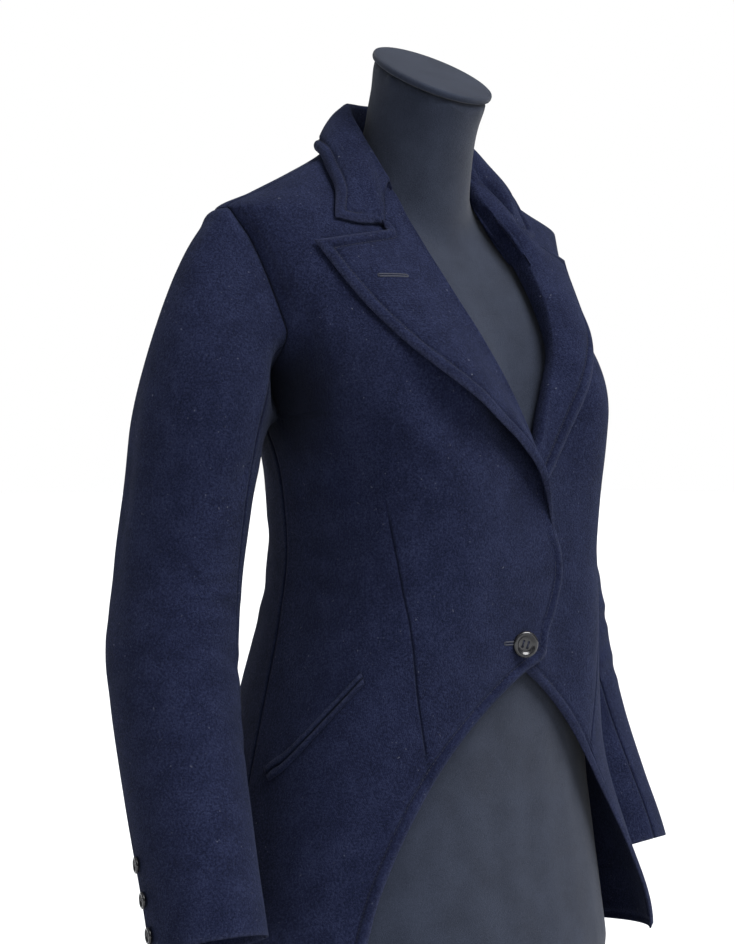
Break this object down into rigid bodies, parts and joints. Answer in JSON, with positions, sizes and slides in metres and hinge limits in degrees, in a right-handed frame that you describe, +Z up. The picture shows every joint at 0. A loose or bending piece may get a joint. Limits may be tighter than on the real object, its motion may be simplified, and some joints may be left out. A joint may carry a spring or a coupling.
{
  "type": "riding coat on dress form",
  "caption": "Navy wool cutaway riding coat with peaked lapels, a single front button and slanted pockets, worn by a limbless dress form on a pole and round base.",
  "frame": {"origin": "centre of the underside of the round base, on the floor", "axes": "+Z up, the coat's front faces -Y, the wearer's left is +X"},
  "size_m": [0.6039, 0.36, 1.4847],
  "materials": {
    "navy_wool": "fulled navy wool coating with a short nap",
    "black_button": "polished black horn-like button",
    "charcoal_jersey": "charcoal jersey stretched over the form",
    "black_iron": "satin black enamel"
  },
  "bodies": {
    "root": {"front_right": "navy_wool", "front_left": "navy_wool", "back_right": "navy_wool", "back_left": "navy_wool", "sleeve_top_right": "navy_wool", "sleeve_under_right": "navy_wool", "sleeve_top_left": "navy_wool", "sleeve_under_left": "navy_wool", "lapel_right": "navy_wool", "lapel_left": "navy_wool", "collar": "navy_wool", "pocket_lip_upper_right": "navy_wool", "pocket_lip_lower_right": "navy_wool", "pocket_lip_upper_left": "navy_wool", "pocket_lip_lower_left": "navy_wool", "front_button": "black_button", "cuff_button_right_1": "black_button", "cuff_button_right_2": "black_button", "cuff_button_right_3": "black_button", "cuff_button_left_1": "black_button", "cuff_button_left_2": "black_button", "cuff_button_left_3": "black_button", "dress_form": "charcoal_jersey", "neck_cap": "charcoal_jersey", "stand_pole": "black_iron", "stand_base": "black_iron"}
  },
  "joints": []
}
